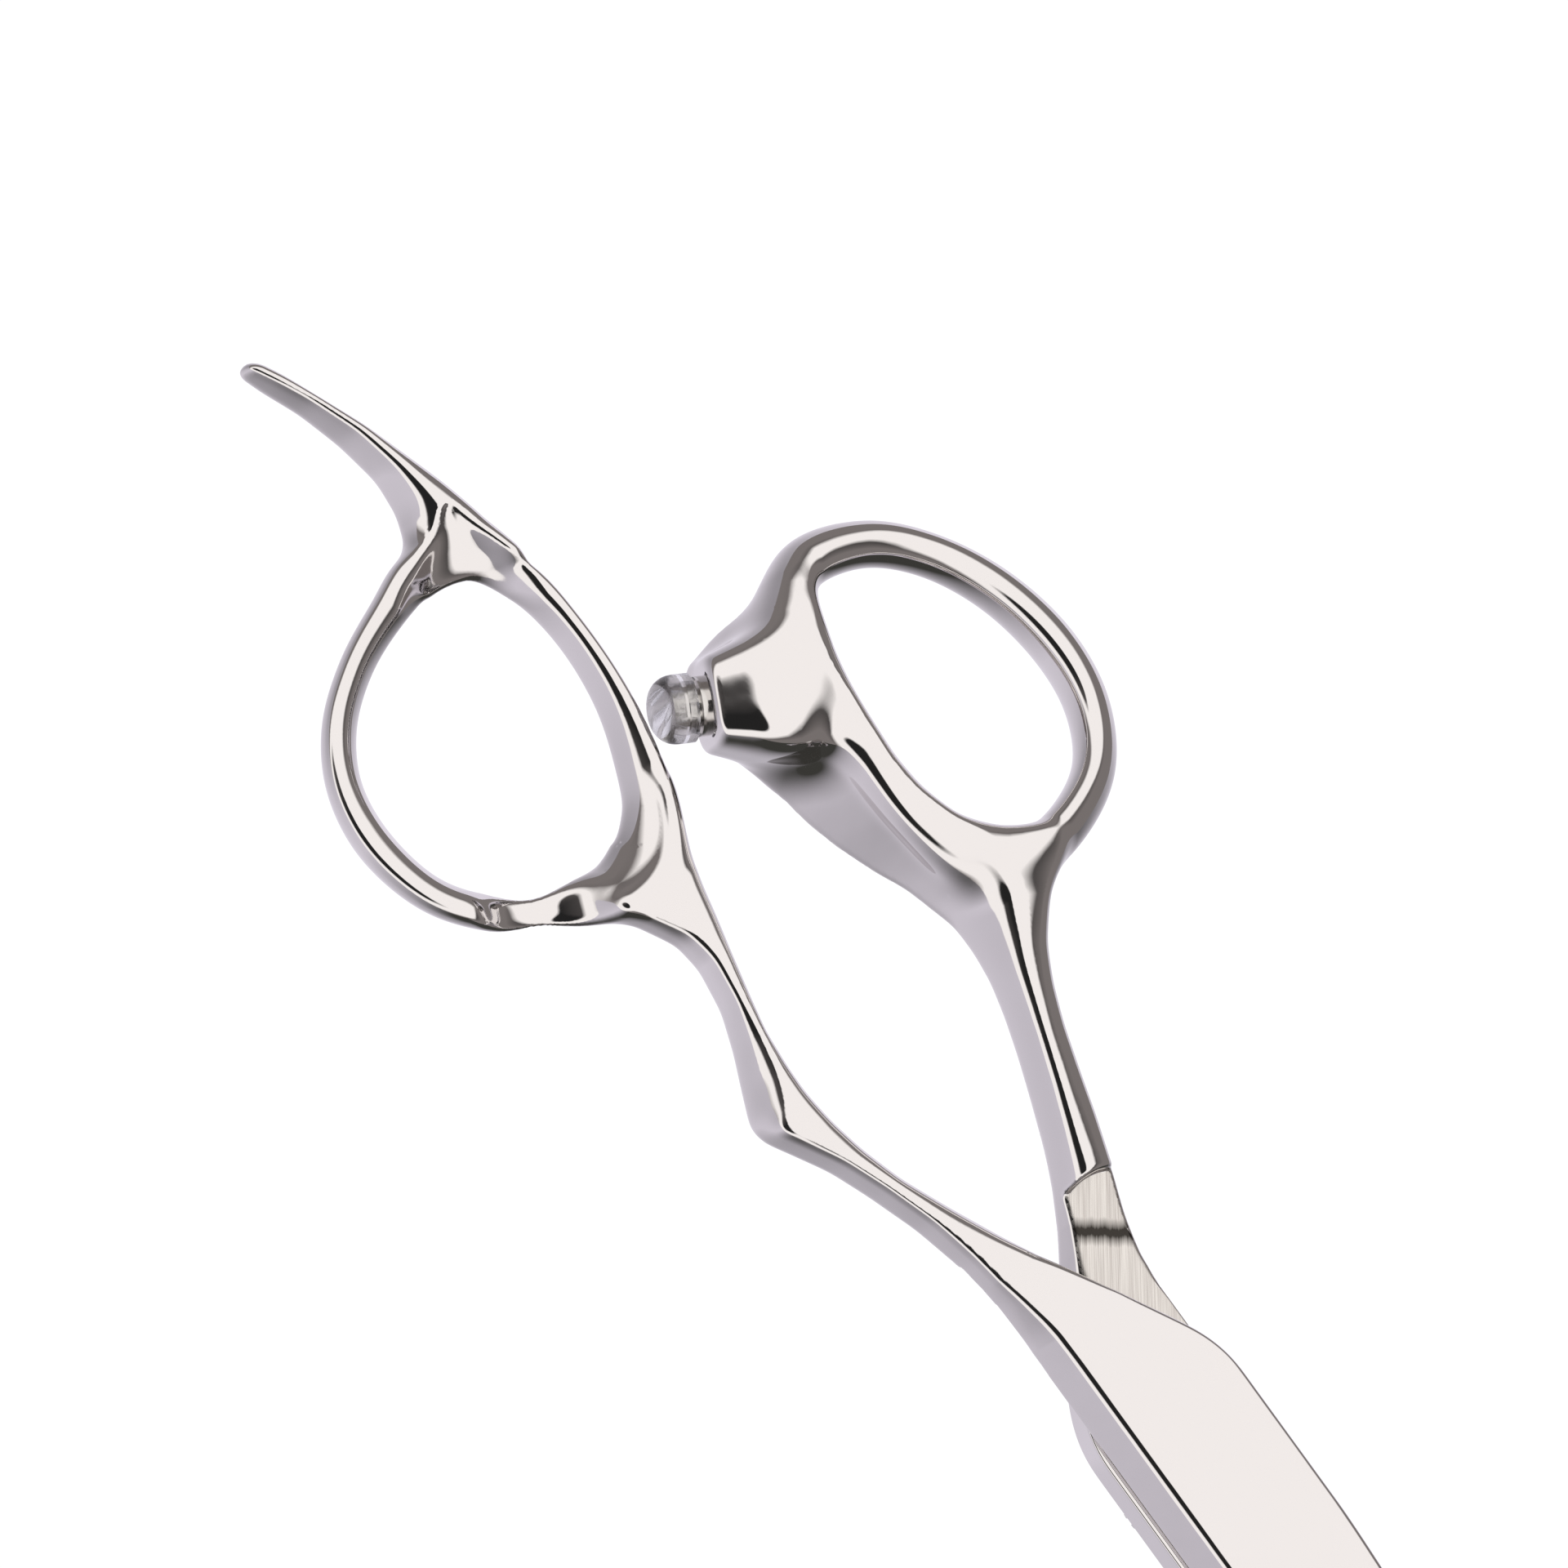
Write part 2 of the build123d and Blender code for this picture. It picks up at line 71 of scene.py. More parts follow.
class Stations:
    """Columns of numbers against x, smoothed so that the surface built on them is smooth."""

    def __init__(self, rows, soft):
        rows = np.array(sorted(rows), float)
        self.x = np.arange(rows[0, 0], rows[-1, 0] + TABLE_STEP, TABLE_STEP)
        table = np.stack([np.interp(self.x, rows[:, 0], rows[:, k]) for k in range(1, rows.shape[1])], 1)
        self.table = blurred(table, soft / TABLE_STEP, False)

    def at(self, x):
        return [np.interp(x, self.x, self.table[:, k]) for k in range(self.table.shape[1])]


class Loop:
    """Closed curve through plan points, with columns of numbers that vary smoothly along it."""

    COARSE = 12            # the nearest point is looked for first at every twelfth place
    AT_ONCE = 40000        # points looked up together, to spare memory

    def __init__(self, rows, soft):
        rows = np.array(rows, float)
        ring = np.concatenate([rows, rows[:1]])
        length = np.concatenate([[0], np.cumsum(np.hypot(*np.diff(ring[:, :2], axis=0).T))])
        self.period = length[-1]
        count = int(self.period / TABLE_STEP)
        self.s = np.arange(count) * self.period / count
        table = self.through(ring, length)
        self.table = blurred(table, soft / TABLE_STEP, True)
        plan = self.table[:, :2]
        ahead = np.roll(plan, -1, 0)
        self.slope = (ahead - np.roll(plan, 1, 0)) * count / self.period / 2
        area = np.sum(plan[:, 0] * ahead[:, 1] - ahead[:, 0] * plan[:, 1])
        self.turn = 1.0 if area > 0 else -1.0

    def through(self, ring, length):
        """Catmull-Rom through the rows, so that a few points give a round loop."""
        n = len(length) - 1
        k = np.clip(np.searchsorted(length, self.s, "right") - 1, 0, n - 1)
        t = ((self.s - length[k]) / (length[k + 1] - length[k]))[:, None]
        p0, p1, p2, p3 = (ring[:-1][(k + j) % n] for j in (-1, 0, 1, 2))
        return 0.5 * (2 * p1 + (p2 - p0) * t + (2 * p0 - 5 * p1 + 4 * p2 - p3) * t**2
                      + (3 * p1 - p0 - 3 * p2 + p3) * t**3)

    def near(self, u, v):
        """Signed distance from the curve, positive outside, and the columns at the nearest point."""
        coarse = self.table[::self.COARSE, :2]
        best = np.empty(len(u), int)
        for a in range(0, len(u), self.AT_ONCE):
            part = slice(a, a + self.AT_ONCE)
            away = (u[part, None] - coarse[None, :, 0]) ** 2 + (v[part, None] - coarse[None, :, 1]) ** 2
            best[part] = away.argmin(1)
        s = best * self.COARSE * self.period / len(self.s)
        for _ in range(4):
            (cx, cy), (dx, dy) = self.look(self.table[:, :2], s), self.look(self.slope, s)
            s = s + np.clip(((u - cx) * dx + (v - cy) * dy) / (dx * dx + dy * dy), -0.5, 0.5)
        (cx, cy), (dx, dy) = self.look(self.table[:, :2], s), self.look(self.slope, s)
        out = self.turn * ((u - cx) * dy - (v - cy) * dx) / np.hypot(dx, dy)
        return out, self.look(self.table[:, 2:], s)

    def look(self, table, s):
        grown = np.concatenate([table, table[:1]])
        where = np.append(self.s, self.period)
        return [np.interp(s % self.period, where, grown[:, k]) for k in range(table.shape[1])]


# ---- formulas of solids: negative inside, about the distance in mm outside -------------------
def smax(a, b, k):
    """The larger of two, rounded where they are within k of each other."""
    gap = np.maximum(k - np.abs(a - b), 0)
    return np.maximum(a, b) + gap * gap / (4 * k)


def smin(a, b, k):
    return -smax(-a, -b, k)


def facet(n, z, a, b):
    """Signed distance from the line through a and b, solid on the left of the way from a to b."""
    du, dv = b[0] - a[0], b[1] - a[1]
    size = np.sqrt(du * du + dv * dv) + 1e-9
    return ((n - a[0]) * dv - (z - a[1]) * du) / size


def prism(n, z, corners, radii):
    """Convex section through corners, counter-clockwise, with each corner rounded by its radius."""
    solid = None
    for k in range(len(corners)):
        side = facet(n, z, corners[k], corners[(k + 1) % len(corners)])
        solid = side if solid is None else smax(solid, side, radii[k])
    return solid


# ---- blades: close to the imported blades, with straight edges a little past the pivot ---------
SPINE, CUTTING, TIP_HALF = 6.3, 5.9, 0.25
BLADE_THICK, TIP_THICK, EDGE_LAND = 3.0, 1.2, 0.25
SHOULDER_AT, SHOULDER_SLOPE, SHOULDER_SOFT = 3.1, 0.56, 1.5     # spine at the weld, its slope, rounding
SPINE_BREAK = 0.3          # small broken edge along the spine
TAPER_START = 8.0          # the blade keeps its full width up to here
HOLLOW_START = 9.0         # behind this the inner face is flat, past it hollow ground
HOLLOW_RUN = 12.0
HOLLOW_DEPTH = 0.28
HONE_LAND = 0.7            # flat honed strip along the cutting edge


def blade_law(x):
    """Spine, cutting edge, bevel width and thickness at x, measured from the pivot axis."""
    along = np.clip((x - TAPER_START) / (TIP_X - TAPER_START), 0.0, 1.0)
    rise = SHOULDER_AT + SHOULDER_SLOPE * (x - WELD_X)
    spine = smin(rise, SPINE - (SPINE - TIP_HALF) * along**1.5, SHOULDER_SOFT)
    cutting = CUTTING - (CUTTING - TIP_HALF) * along**1.15
    bevel = 1.9 + 0.6 * (1 - (1 - along) ** 4) - 2.3 * along**2
    return spine, cutting, bevel, BLADE_THICK + (TIP_THICK - BLADE_THICK) * along


def edge_break(spine, cutting):
    """Width of the broken edge along the spine, smaller where the tip has no room for it."""
    return np.minimum(SPINE_BREAK, 0.15 * (spine + cutting))


def handle_share(x):
    """0 on the blades, growing to 1 on the shanks, whose edges are rounder."""
    return np.clip((WELD_X - 2 - x) / 6, 0, 1)


def hollow(x, y):
    """Depth of the hollow grind on an inner face; y runs from the cutting edge to the spine."""
    spine, cutting, _, thick = blade_law(np.clip(x, WELD_X, TIP_X))
    low, high = HONE_LAND - cutting, spine - SPINE_BREAK
    across = np.clip((y - low) / np.maximum(high - low, 0.1), 0, 1)
    run = np.clip((x - HOLLOW_START) / HOLLOW_RUN, 0, 1)
    bump = 16 * across**2 * (1 - across) ** 2
    return HOLLOW_DEPTH * bump * run * run * (3 - 2 * run) * thick / BLADE_THICK


BLADE_X = np.append(np.arange(WELD_X, TIP_X, 0.5), [TIP_X, TIP_X + 2])


def finger_blade_rows():
    """The finger blade as rows of FINGER_SHANK."""
    for x in BLADE_X:
        spine, cutting, bevel, thick = blade_law(x)
        crown = SHEAR + thick
        ridge_round = 0.4 - 0.2 * max(0.0, x / TIP_X)
        inner_ridge = spine - edge_break(spine, cutting)
        yield (x, -cutting, spine, SHEAR, crown, bevel - cutting, inner_ridge, SHEAR + EDGE_LAND, ridge_round)


def thumb_blade_rows():
    """The thumb blade, which is the finger blade turned over, as rows of THUMB_BAR."""
    for x in BLADE_X:
        spine, cutting, bevel, thick = blade_law(x)
        width = spine + cutting
        edge, ridge = min(0.2, 0.1 * width), min(0.8, 0.4 * width)
        yield (x, -spine, SHEAR - thick, edge - spine, 5.7, ridge - spine, 6.0, cutting - edge, 5.7, cutting,
               0.5 * edge, edge_break(spine, cutting), bevel, thick - EDGE_LAND)


NARROW_FALL = 0.45         # slope of the narrow facet on each shank's ridge


# ---- finger half -----------------------------------------------------------------------------
# Columns: x, -Y wall, +Y wall, bottom, top, top facet from and to, foot of the -Y slope, rounding.
FINGER_SHANK = Stations([
    (-66.0, -13.5, -2.6, 3.2, 6.9, -12.6, -3.1, 6.3, 0.5),
    (-61.0, -12.6, -4.0, 3.2, 7.0, -12.0, -4.5, 6.3, 0.5),
    (-58.0, -10.7, -4.9, 3.2, 7.1, -10.1, -5.6, 6.2, 0.6),
    (-55.5, -9.3, -5.5, 3.2, 7.2, -8.5, -6.2, 6.1, 0.7),
    (-53.0, -9.0, -6.2, 3.2, 7.4, -8.0, -6.9, 6.0, 0.8),
    (-49.5, -9.5, -7.1, 3.3, 7.6, -8.2, -7.7, 6.3, 0.6),
    (-46.5, -10.6, -7.8, 3.3, 7.7, -8.6, -8.2, 6.0, 0.5),
    (-43.5, -12.0, -8.1, 3.3, 7.8, -9.5, -8.6, 5.6, 0.4),
    (-41.2, -13.0, -8.2, 3.3, 7.9, -10.6, -8.7, 5.8, 0.4),
    (-39.7, -12.9, -8.1, 3.3, 8.0, -11.6, -8.7, 5.6, 0.6),
    (-38.0, -11.9, -7.9, 3.3, 8.0, -10.6, -8.6, 5.2, 0.6),
    (-35.0, -10.2, -7.3, 3.4, 8.1, -9.0, -8.1, 4.9, 0.5),
    (-31.5, -8.8, -6.2, 3.5, 8.15, -7.5, -6.9, 4.7, 0.5),
    (-27.6, -7.5, -4.5, 3.9, 8.2, -6.1, -5.6, 4.8, 0.5),
    (-23.5, -6.6, -2.5, 4.4, 8.2, -5.2, -3.1, 5.0, 0.5),
    (-19.4, -6.1, -0.3, 4.9, 8.2, -4.5, -0.5, 5.3, 0.45),
    (-16.0, -5.9, 1.45, 5.1, 8.2, -4.1, 1.2, 5.4, 0.45),
    *finger_blade_rows(),
], 0.5)

# Outer edge of the ring in plan; columns: shoulder, facet, foot of the inner wall, its height, top.
FINGER_RING = Loop([
    (-91.3, -8.6, 0.7, 0.7, 4.2, 5.2, 6.9), (-89.7, -13.0, 0.7, 0.75, 3.5, 4.4, 6.9),
    (-87.5, -17.6, 0.6, 0.9, 3.4, 4.0, 6.9), (-84.3, -21.7, 0.45, 1.2, 3.5, 4.0, 6.9),
    (-79.9, -24.4, 0.3, 1.6, 3.6, 4.0, 6.9), (-74.5, -25.2, 0.2, 1.9, 3.8, 4.0, 6.9),
    (-68.7, -23.7, 0.2, 1.8, 3.6, 4.0, 6.9), (-64.3, -20.2, 0.2, 1.8, 3.6, 4.0, 6.9),
    (-61.2, -15.6, 0.2, 2.0, 4.3, 4.0, 6.95), (-59.4, -10.5, 0.3, 1.8, 5.2, 4.0, 7.0),
    (-60.4, -6.0, 0.3, 1.7, 5.5, 4.0, 7.0), (-63.8, -3.0, 0.3, 1.6, 4.7, 4.0, 6.95),
    (-68.0, -1.6, 0.3, 1.3, 3.9, 4.0, 6.9), (-73.5, -0.6, 0.3, 1.0, 3.1, 4.0, 6.9),
    (-79.5, -0.4, 0.3, 0.9, 2.8, 4.2, 6.9), (-85.0, -1.0, 0.4, 0.8, 3.2, 4.8, 6.9),
    (-89.6, -3.4, 0.5, 0.4, 3.8, 5.2, 6.6),
], 0.7)
RING_BOTTOM = 3.1
SHANK_ROOT = -66.5         # the shank stops here
RING_CREST = 1.0           # tang and shank end on the ring's crest, so that its inner slope stays clean

# Columns: x, -Y wall, +Y wall, bottom, top, crest from and to, foot of the -Y slope.
TANG = Stations([
    (-109.6, -11.3, -9.0, 3.9, 6.7, -10.3, -9.7, 5.0), (-107.5, -10.4, -7.9, 3.4, 6.95, -9.1, -8.6, 4.4),
    (-104.5, -9.0, -6.6, 3.2, 7.0, -7.4, -7.1, 4.0), (-100.8, -7.8, -5.0, 3.0, 7.1, -6.0, -5.7, 3.8),
    (-97.0, -7.1, -3.7, 3.0, 7.1, -5.3, -4.7, 3.9), (-94.0, -7.3, -2.7, 3.0, 7.1, -5.0, -3.8, 4.4),
    (-91.5, -8.2, -2.0, 3.0, 7.0, -5.2, -2.9, 5.0), (-88.5, -9.0, -1.3, 3.1, 6.9, -4.6, -2.0, 5.4),
    (-84.0, -6.0, -0.7, 3.1, 6.9, -2.4, -1.3, 5.4),
], 0.6)
TANG_END = -109.9
TANG_ROOT = -86.5          # the tang stops here

# Hollow in the web between tang and ring.
WEB_TOP = (-92.2, -4.1, 6.9)     # where the two crests of the tang part
WEB_AIM = (0.921, -0.389)  # from there to the middle of the ring's hole, in plan
WEB_SPREAD = 0.85          # half width of the hollow per millimetre along it
WEB_FALL = 0.5             # fall of the hollow's floor per millimetre
WEB_SIZE = 6.0             # the hollow fades out this far along the ring


def web_hollow(x, y, z):
    """Conical hollow between the crests, open towards the ring's hole."""
    dx, dy, dz = x - WEB_TOP[0], y - WEB_TOP[1], z - WEB_TOP[2]
    along = dx * WEB_AIM[0] + dy * WEB_AIM[1]
    aside = dx * WEB_AIM[1] - dy * WEB_AIM[0]
    radius = (WEB_SPREAD**2 + WEB_FALL**2) / (2 * WEB_FALL)
    reach = smin(along, WEB_SIZE, 1.0)
    lift = dz - (radius - WEB_FALL) * reach
    cone = (np.hypot(aside, lift) - radius * reach) / math.hypot(1, WEB_FALL)
    return smax(cone, -along, 0.5)


def finger_ring(n, columns, z):
    shoulder, flat, foot, foot_z, top = columns
    low = np.full_like(n, RING_BOTTOM)
    corners = [(-foot + 0.5, low), (-0.7 + 0 * n, low), (0 * n, low + 0.9), (0 * n, top - shoulder),
               (-shoulder, top), (-shoulder - flat, top), (-foot, foot_z), (-foot, low + 0.6)]
    return prism(n, z, corners, [0.8, 1.0, 1.0, 1.0, 0.9, 1.6, 1.8, 0.8])


def tang(x, y, z):
    y0, y1, z0, z1, f0, f1, s0 = TANG.at(x)
    corners = [(y0 + 0.6, z0), (y1 - 0.7, z0), (y1, z0 + 0.8), (y1, z1 - 0.9),
               (f1, z1), (f0, z1), (y0, s0), (y0, z0 + 0.7)]
    solid = prism(y, z, corners, [1.0, 1.0, 1.0, 1.3, 0.9, 0.9, 1.3, 1.0])
    solid = smax(solid, TANG_END - x, 1.2)
    return smax(solid, x - TANG_ROOT, 1.0)


def finger_shank(x, y, z):
    y0, y1, z0, z1, f0, f1, s0, k = FINGER_SHANK.at(x)
    soft = handle_share(x)
    low = 0.05 + 0.75 * soft
    narrow = np.minimum(0.06 + 0.6 * soft, 0.5 * (f0 - y0))
    spine_top = z1 - edge_break(y1, -y0) - 0.5 * soft
    foot = z0 + np.minimum(0.8 * low, 0.5 * (s0 - z0))
    corners = [(y0 + low, z0), (y1 - low, z0), (y1, z0 + low), (y1, spine_top), (f1, z1), (f0, z1),
               (f0 - narrow, z1 - NARROW_FALL * narrow), (y0, s0), (y0, foot)]
    under = 0.6 * soft + 0.02
    solid = prism(y, z, corners, [under, under, under, 0.25 + 0.9 * soft, 0.25 + 0.8 * soft, k, k,
                                  0.6 + 0.6 * soft, 0.6 + 0.4 * soft])
    return smax(solid, SHANK_ROOT - x, 2.0)


STEP = (-18.6, 5.6, 4.6)   # centre and radius of the round step in the thumb shank, mirrored in the other


def cut_at_shear(solid, x, y, z, side):
    """Takes away what lies on the other half's side of the shear plane, up to the round step."""
    beyond = side * (z - SHEAR) + hollow(x, -side * y)
    in_plan = -smin(STEP[0] - x, np.hypot(x - STEP[0], y - side * STEP[1]) - STEP[2], 0.02)
    rounding = 0.2 + 0.3 * np.clip((WELD_X + 1 - x) / 2, 0, 1)
    return smax(solid, smin(beyond, in_plan, 0.3), rounding)


def finger_half(x, y, z):
    n, columns = FINGER_RING.near(x, y)
    inner = -RING_CREST - n
    solid = smin(finger_ring(n, columns, z), smax(tang(x, y, z), inner, 1.0), 1.6)
    solid = smin(solid, smax(finger_shank(x, y, z), inner, 1.0), 1.4)
    solid = smax(solid, -web_hollow(x, y, z), 0.9)
    return cut_at_shear(solid, x, y, z, -1)


# ---- thumb half ------------------------------------------------------------------------------
THUMB_CENTRE = (-59.0, 20.0, 5.1)
THUMB_TILT = math.radians(14.0)
# Centre line of the ring in its own plane; columns: half width, half depth, lean outwards.
THUMB_RING = Loop([
    (-14.2, -4.0, 2.0, 2.5, 0.0), (-12.9, 1.8, 1.75, 2.3, 0.0), (-9.3, 6.2, 1.65, 2.2, 0.1),
    (-4.2, 9.3, 1.8, 2.3, 0.25), (1.6, 10.7, 2.0, 2.4, 0.35), (6.9, 10.1, 2.0, 2.4, 0.45),
    (11.2, 7.3, 1.95, 2.3, 0.5), (13.4, 2.8, 1.9, 2.3, 0.5), (13.9, -2.4, 1.9, 2.2, 0.4),
    (11.8, -7.0, 1.8, 1.6, 0.2), (6.5, -9.3, 1.3, 1.3, 0.0), (0.0, -9.6, 1.2, 1.3, 0.0),
    (-6.0, -9.3, 1.2, 1.4, 0.0), (-11.5, -8.0, 1.7, 2.1, 0.0),
], 0.8)
RING_POWER = 2.1

# The bar behind the thumb blade.  Columns: x, foot of the -Y slope, bottom, the slope's top, ridge
# (y, z), end of the +Y facet (y, z), +Y wall, width of the narrow facet on the ridge.
BAR_ROWS = [
    (-73.5, 7.2, 3.1, 10.2, 13.6, 9.6, 14.3, 9.5, 15.4, 0.1),
    (-70.0, 5.0, 2.2, 9.0, 12.9, 10.0, 13.3, 9.9, 14.2, 0.1),
    (-66.5, 4.4, 1.3, 8.2, 12.4, 10.1, 12.6, 10.0, 13.3, 0.1),
    (-63.6, 4.9, 1.1, 8.4, 12.4, 9.9, 12.5, 9.8, 13.0, 0.1),
    (-61.0, 4.8, 1.0, 8.8, 12.2, 9.6, 12.3, 9.5, 12.8, 0.1),
    (-57.4, 5.3, 1.1, 9.0, 12.0, 9.25, 12.1, 9.15, 12.6, 0.1),
    (-54.5, 6.0, 1.4, 9.5, 12.3, 9.05, 12.45, 8.95, 13.0, 0.2),
    (-51.0, 7.2, 1.9, 10.6, 13.2, 8.9, 13.5, 8.85, 14.1, 0.5),
    (-48.6, 8.2, 2.5, 11.5, 13.9, 8.8, 15.1, 8.6, 16.1, 0.9),
    (-46.3, 8.8, 2.8, 11.5, 14.2, 8.65, 17.6, 7.95, 19.0, 1.2),
    (-44.2, 9.4, 3.1, 11.0, 13.8, 8.5, 18.3, 7.7, 19.8, 1.3),
    (-41.7, 9.4, 3.3, 10.4, 12.6, 8.35, 15.4, 7.9, 16.6, 1.1),
    (-39.2, 9.1, 3.4, 9.7, 11.4, 8.25, 13.3, 7.85, 14.4, 0.9),
    (-36.5, 8.4, 3.4, 8.9, 10.4, 8.15, 11.8, 7.8, 12.9, 0.8),
    (-33.5, 7.4, 3.4, 7.9, 9.3, 8.05, 10.7, 7.65, 11.7, 0.7),
    (-30.0, 6.1, 3.3, 6.6, 8.1, 7.9, 9.6, 7.5, 10.6, 0.7),
    (-26.5, 4.8, 3.0, 5.2, 6.9, 7.65, 8.6, 7.25, 9.6, 0.7),
    (-24.0, 3.7, 2.7, 4.1, 6.1, 7.4, 7.9, 7.05, 8.8, 0.7),
    (-22.0, 2.6, 2.5, 3.1, 5.3, 7.0, 7.2, 6.8, 8.2, 0.6),
    (-19.0, 0.9, 2.3, 1.5, 3.6, 6.5, 6.1, 6.4, 7.0, 0.5),
    (-16.0, -1.2, 2.2, -0.8, 2.0, 5.9, 5.4, 5.8, 6.2, 0.3),
]
BROAD_FALL = 0.84          # slope of the broad facet below the narrow one
BAR_ROOT = -73.0           # the bar stops here


def bar_rows():
    """Adds the height of the slope's top and the lower breaks, which grow into the blade's bevel."""
    for x, y0, z0, f0, r, zr, f1, z1, y1, e in BAR_ROWS:
        t = min(1, max(0, (x + 24) / 11))
        foot, ridge = z0 + 0.9, zr - NARROW_FALL * e
        straight = foot + (ridge - foot) * (f0 - y0) / (r - e - y0)
        proud = ridge - BROAD_FALL * (r - e - f0) - straight
        zf = straight + proud * min(1, max(0.1, (x + 53) / 7))
        yield x, y0, z0, f0, zf, r, zr, f1, z1, y1, e, 0.9 - 0.6 * t, 0.9 + t, 0.9 + 1.85 * t


THUMB_BAR = Stations([
    *bar_rows(),
    *thumb_blade_rows(),
], 0.6)

BOSS_FACE = np.array((-69.0, 3.2, 5.8))
BUMPER_AIM = np.array((-0.46, -0.888, 0.0))
BUMPER_AIM /= np.linalg.norm(BUMPER_AIM)
BOSS_R = 3.4
BOSS_FLARE = 0.36          # growth of the boss per millimetre away from its face
BOSS_FLARE_END = 4.6       # the boss grows only this far
BOSS_LENGTH = 8.2
BOSS_POWER = 4.0           # 2 is a round boss, more is squarer
BOSS_SLUMP = 0.22          # fall of the boss's upper side towards the ring, per millimetre
BOSS_SLUMP_START = 3.5
BOSS_BELLY = 1.25          # above 1 the underside is flatter than the upper side
BUMPER_BORE, BUMPER_DEPTH = 1.65, 4.6


def thumb_ring(x, y, z):
    ahead, up = y - THUMB_CENTRE[1], z - THUMB_CENTRE[2]
    v = ahead * math.cos(THUMB_TILT) - up * math.sin(THUMB_TILT)
    w = ahead * math.sin(THUMB_TILT) + up * math.cos(THUMB_TILT)
    n, (wide, deep, lean) = THUMB_RING.near(x - THUMB_CENTRE[0], v)
    w = w + lean * n
    size = ((np.abs(n) / wide) ** RING_POWER + (np.abs(w) / deep) ** RING_POWER) ** (1 / RING_POWER)
    return (size - 1) * np.minimum(wide, deep)


def thumb_bar(x, y, z):
    y0, z0, f0, zf, r, zr, f1, z1, y1, e, low, bevel_y, bevel_z = THUMB_BAR.at(x)
    corners = [(y0 + low, z0), (y1 - bevel_y, z0), (y1, z0 + bevel_z), (y1, z1 - 0.7), (f1, z1), (r, zr),
               (r - e, zr - NARROW_FALL * e), (f0, zf), (y0, z0 + low)]
    soft = handle_share(x)
    crest = 0.15 + 0.6 * np.clip(e / 0.8, 0, 1) * soft
    solid = prism(y, z, corners, [0.6 * soft + 0.02, 0.6 * soft + 0.1, 0.6 * soft + 0.02, 1.1 * soft + 0.1,
                                  0.8 * soft + 0.1, crest, crest, 1.5 * soft + 0.1, 0.8 * soft + 0.05])
    return smax(solid, BAR_ROOT - x, 3.0)


def boss(x, y, z):
    px, py, pz = x - BOSS_FACE[0], y - BOSS_FACE[1], z - BOSS_FACE[2]
    back = -(px * BUMPER_AIM[0] + py * BUMPER_AIM[1] + pz * BUMPER_AIM[2])
    level = np.abs(px * BUMPER_AIM[1] - py * BUMPER_AIM[0])
    tall = np.maximum(pz + BOSS_SLUMP * smax(back - BOSS_SLUMP_START, 0.0, 1.0), -BOSS_BELLY * pz)
    across = (level**BOSS_POWER + tall**BOSS_POWER) ** (1 / BOSS_POWER)
    round_across = np.hypot(level, pz)
    side = (across - BOSS_R - BOSS_FLARE * smin(back, BOSS_FLARE_END, 1.5)) / math.hypot(1, BOSS_FLARE)
    solid = smax(smax(side, -back, 0.7), back - BOSS_LENGTH, 2.0)
    return solid, smax(round_across - BUMPER_BORE, back - BUMPER_DEPTH, 0.02)


def thumb_half(x, y, z):
    solid = smin(thumb_ring(x, y, z), thumb_bar(x, y, z), 2.0)
    stub, bore = boss(x, y, z)
    solid = smax(smin(solid, stub, 3.0), -bore, 0.05)
    return cut_at_shear(solid, x, y, z, 1)


# ---- meshing ---------------------------------------------------------------------------------
CELL = 0.25
BLOCK = 6                  # cells along the side of a block that is tested as a whole
BLOCK_REACH = 0.87 * 1.5   # half a block's diagonal over its side, with room for a steep field
BLOCKS_AT_ONCE = 400       # blocks worked out together, to spare memory


def sampled(field, low, counts):
    """Field at the grid's corners, worked out only in blocks near the surface."""
    axes = [low[k] + CELL * np.arange(counts[k]) for k in range(3)]
    blocks = [np.arange(0, counts[k], BLOCK) for k in range(3)]
    bi = np.stack(np.meshgrid(*blocks, indexing="ij"), -1).reshape(-1, 3)
    centre = low + (bi + BLOCK / 2) * CELL
    value = field(*centre.T)
    out = np.empty(counts, np.float32)
    reach = BLOCK * CELL * BLOCK_REACH + CELL
    for (i, j, k), f in zip(bi[np.abs(value) >= reach], value[np.abs(value) >= reach]):
        out[i:i + BLOCK, j:j + BLOCK, k:k + BLOCK] = f
    near = bi[np.abs(value) < reach]
    step = np.arange(BLOCK)
    cell = np.stack(np.meshgrid(step, step, step, indexing="ij"), -1).reshape(-1, 3)
    for a in range(0, len(near), BLOCKS_AT_ONCE):
        index = (near[a:a + BLOCKS_AT_ONCE, None, :] + cell[None]).reshape(-1, 3)
        index = index[np.all(index < counts, 1)]
        i, j, k = index.T
        out[i, j, k] = field(axes[0][i], axes[1][j], axes[2][k])
    return out


